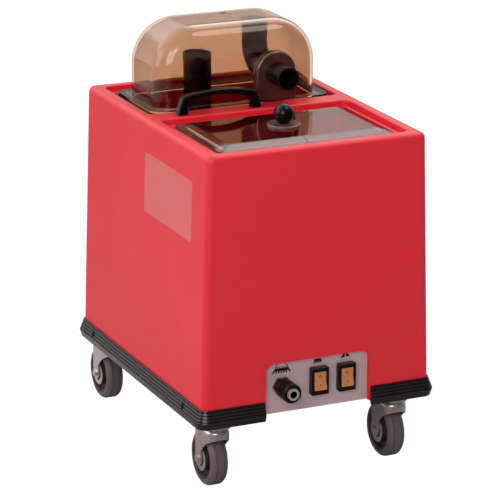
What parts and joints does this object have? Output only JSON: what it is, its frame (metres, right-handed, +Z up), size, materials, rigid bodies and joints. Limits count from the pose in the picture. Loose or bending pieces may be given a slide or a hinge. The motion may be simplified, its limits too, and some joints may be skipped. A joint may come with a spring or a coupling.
{
  "type": "carpet extractor",
  "caption": "Portable carpet extractor with a red tub body on swivel casters, a smoked fresh water lid, an amber recovery dome with hose inlet, a carry handle and a switch panel.",
  "frame": {"origin": "on the floor, under the middle of the body", "axes": "+Z up, -Y to the front with the switch panel, +X to the right seen from the front"},
  "size_m": [0.369, 0.523, 0.606],
  "materials": {
    "red_shell": "satin red moulded plastic",
    "black_plastic": "satin black plastic",
    "black_gloss": "gloss black plastic",
    "black_rubber": "matt black rubber",
    "pale_foam": "pale closed cell foam",
    "smoked_clear": "clear smoked plastic",
    "brown_block": "thick dark brown acrylic",
    "amber_clear": "clear amber plastic",
    "amber_switch": "translucent amber plastic",
    "silver_panel": "satin silver paint",
    "chrome": "polished chrome",
    "zinc_steel": "zinc plated",
    "black_steel": "blackened steel",
    "steel": "bright steel",
    "cast_motor": "as cast",
    "laminations": "varnished laminations",
    "grey_tyre": "grey rubber",
    "dark_rim": "dark grey plastic",
    "clear_hose": "milky flexible tube"
  },
  "bodies": {
    "machine": {"body_shell": "red_shell", "fresh_tank": "red_shell", "recovery_tank": "red_shell", "base_plate": "black_plastic", "base_screws": "zinc_steel", "bumper_band": "black_rubber", "bumper_screws": "black_steel", "control_panel": "silver_panel", "pump_switch_frame": "black_plastic", "vacuum_switch_frame": "black_plastic", "coupling_body": "chrome", "coupling_nut": "black_steel", "carry_handle": "black_plastic", "handle_bolts": "zinc_steel", "dome_seal": "pale_foam", "standpipe": "black_plastic", "motor_gasket": "black_rubber", "fan_case": "cast_motor", "motor_can": "cast_motor", "motor_bearings": "steel", "stator": "laminations", "motor_mount": "black_rubber", "pump": "black_plastic", "pump_bracket": "zinc_steel", "tank_outlet": "black_plastic", "tank_strainer": "black_plastic", "suction_tube": "clear_hose", "pressure_tube": "clear_hose", "cable_gland": "black_plastic", "caster_heads": "zinc_steel", "caster_bolts": "zinc_steel"},
    "dome_cover": {"dome": "amber_clear", "inlet_pipe": "black_plastic", "inlet_elbow": "black_plastic", "inlet_boss": "brown_block"},
    "tank_lid": {"lid": "smoked_clear", "knob_disc": "smoked_clear", "lid_knob": "black_gloss", "knob_screw": "zinc_steel"},
    "pump_rocker": {"pump_switch_rocker": "amber_switch"},
    "vacuum_rocker": {"vacuum_switch_rocker": "amber_switch"},
    "release_sleeve": {"coupling_sleeve": "black_plastic"},
    "fan": {"rotor": "steel", "impeller": "cast_motor"},
    "swivel_front_left": {"fork_front_left": "zinc_steel", "axle_front_left": "zinc_steel"},
    "roller_front_left": {"wheel_front_left": "dark_rim", "tyre_front_left": "grey_tyre"},
    "swivel_front_right": {"fork_front_right": "zinc_steel", "axle_front_right": "zinc_steel"},
    "roller_front_right": {"wheel_front_right": "dark_rim", "tyre_front_right": "grey_tyre"},
    "swivel_rear_left": {"fork_rear_left": "zinc_steel", "axle_rear_left": "zinc_steel"},
    "roller_rear_left": {"wheel_rear_left": "dark_rim", "tyre_rear_left": "grey_tyre"},
    "swivel_rear_right": {"fork_rear_right": "zinc_steel", "axle_rear_right": "zinc_steel"},
    "roller_rear_right": {"wheel_rear_right": "dark_rim", "tyre_rear_right": "grey_tyre"}
  },
  "joints": [
    {"name": "dome_lift", "type": "slide", "parent": "machine", "child": "dome_cover", "axis": [0, 0, 1], "range_m": [0, 0.15]},
    {"name": "lid_lift", "type": "slide", "parent": "machine", "child": "tank_lid", "axis": [0, 0, 1], "range_m": [0, 0.12]},
    {"name": "sleeve_slide", "type": "slide", "parent": "machine", "child": "release_sleeve", "axis": [0, 1, 0], "range_m": [0, 0.004], "stiffness_N_per_m": 400, "springref_m": -0.003},
    {"name": "fan_spin", "type": "hinge", "parent": "machine", "child": "fan", "pos_m": [-0.04, 0.105, 0.16], "axis": [0, 0, 1], "continuous": true},
    {"name": "pump_switch", "type": "hinge", "parent": "machine", "child": "pump_rocker", "pos_m": [0.003, -0.22255, 0.152], "axis": [1, 0, 0], "range_deg": [0, 14]},
    {"name": "vacuum_switch", "type": "hinge", "parent": "machine", "child": "vacuum_rocker", "pos_m": [0.0452, -0.22255, 0.152], "axis": [1, 0, 0], "range_deg": [0, 14]},
    {"name": "swivel_front_left", "type": "hinge", "parent": "machine", "child": "swivel_front_left", "pos_m": [-0.139, -0.187, 0.1], "axis": [0, 0, 1], "continuous": true},
    {"name": "roll_front_left", "type": "hinge", "parent": "swivel_front_left", "child": "roller_front_left", "pos_m": [-0.139, -0.165, 0.04], "axis": [1, 0, 0], "continuous": true},
    {"name": "swivel_front_right", "type": "hinge", "parent": "machine", "child": "swivel_front_right", "pos_m": [0.139, -0.187, 0.1], "axis": [0, 0, 1], "continuous": true},
    {"name": "roll_front_right", "type": "hinge", "parent": "swivel_front_right", "child": "roller_front_right", "pos_m": [0.139, -0.165, 0.04], "axis": [1, 0, 0], "continuous": true},
    {"name": "swivel_rear_left", "type": "hinge", "parent": "machine", "child": "swivel_rear_left", "pos_m": [-0.139, 0.203, 0.1], "axis": [0, 0, 1], "continuous": true},
    {"name": "roll_rear_left", "type": "hinge", "parent": "swivel_rear_left", "child": "roller_rear_left", "pos_m": [-0.139, 0.225, 0.04], "axis": [1, 0, 0], "continuous": true},
    {"name": "swivel_rear_right", "type": "hinge", "parent": "machine", "child": "swivel_rear_right", "pos_m": [0.139, 0.203, 0.1], "axis": [0, 0, 1], "continuous": true},
    {"name": "roll_rear_right", "type": "hinge", "parent": "swivel_rear_right", "child": "roller_rear_right", "pos_m": [0.139, 0.225, 0.04], "axis": [1, 0, 0], "continuous": true}
  ]
}
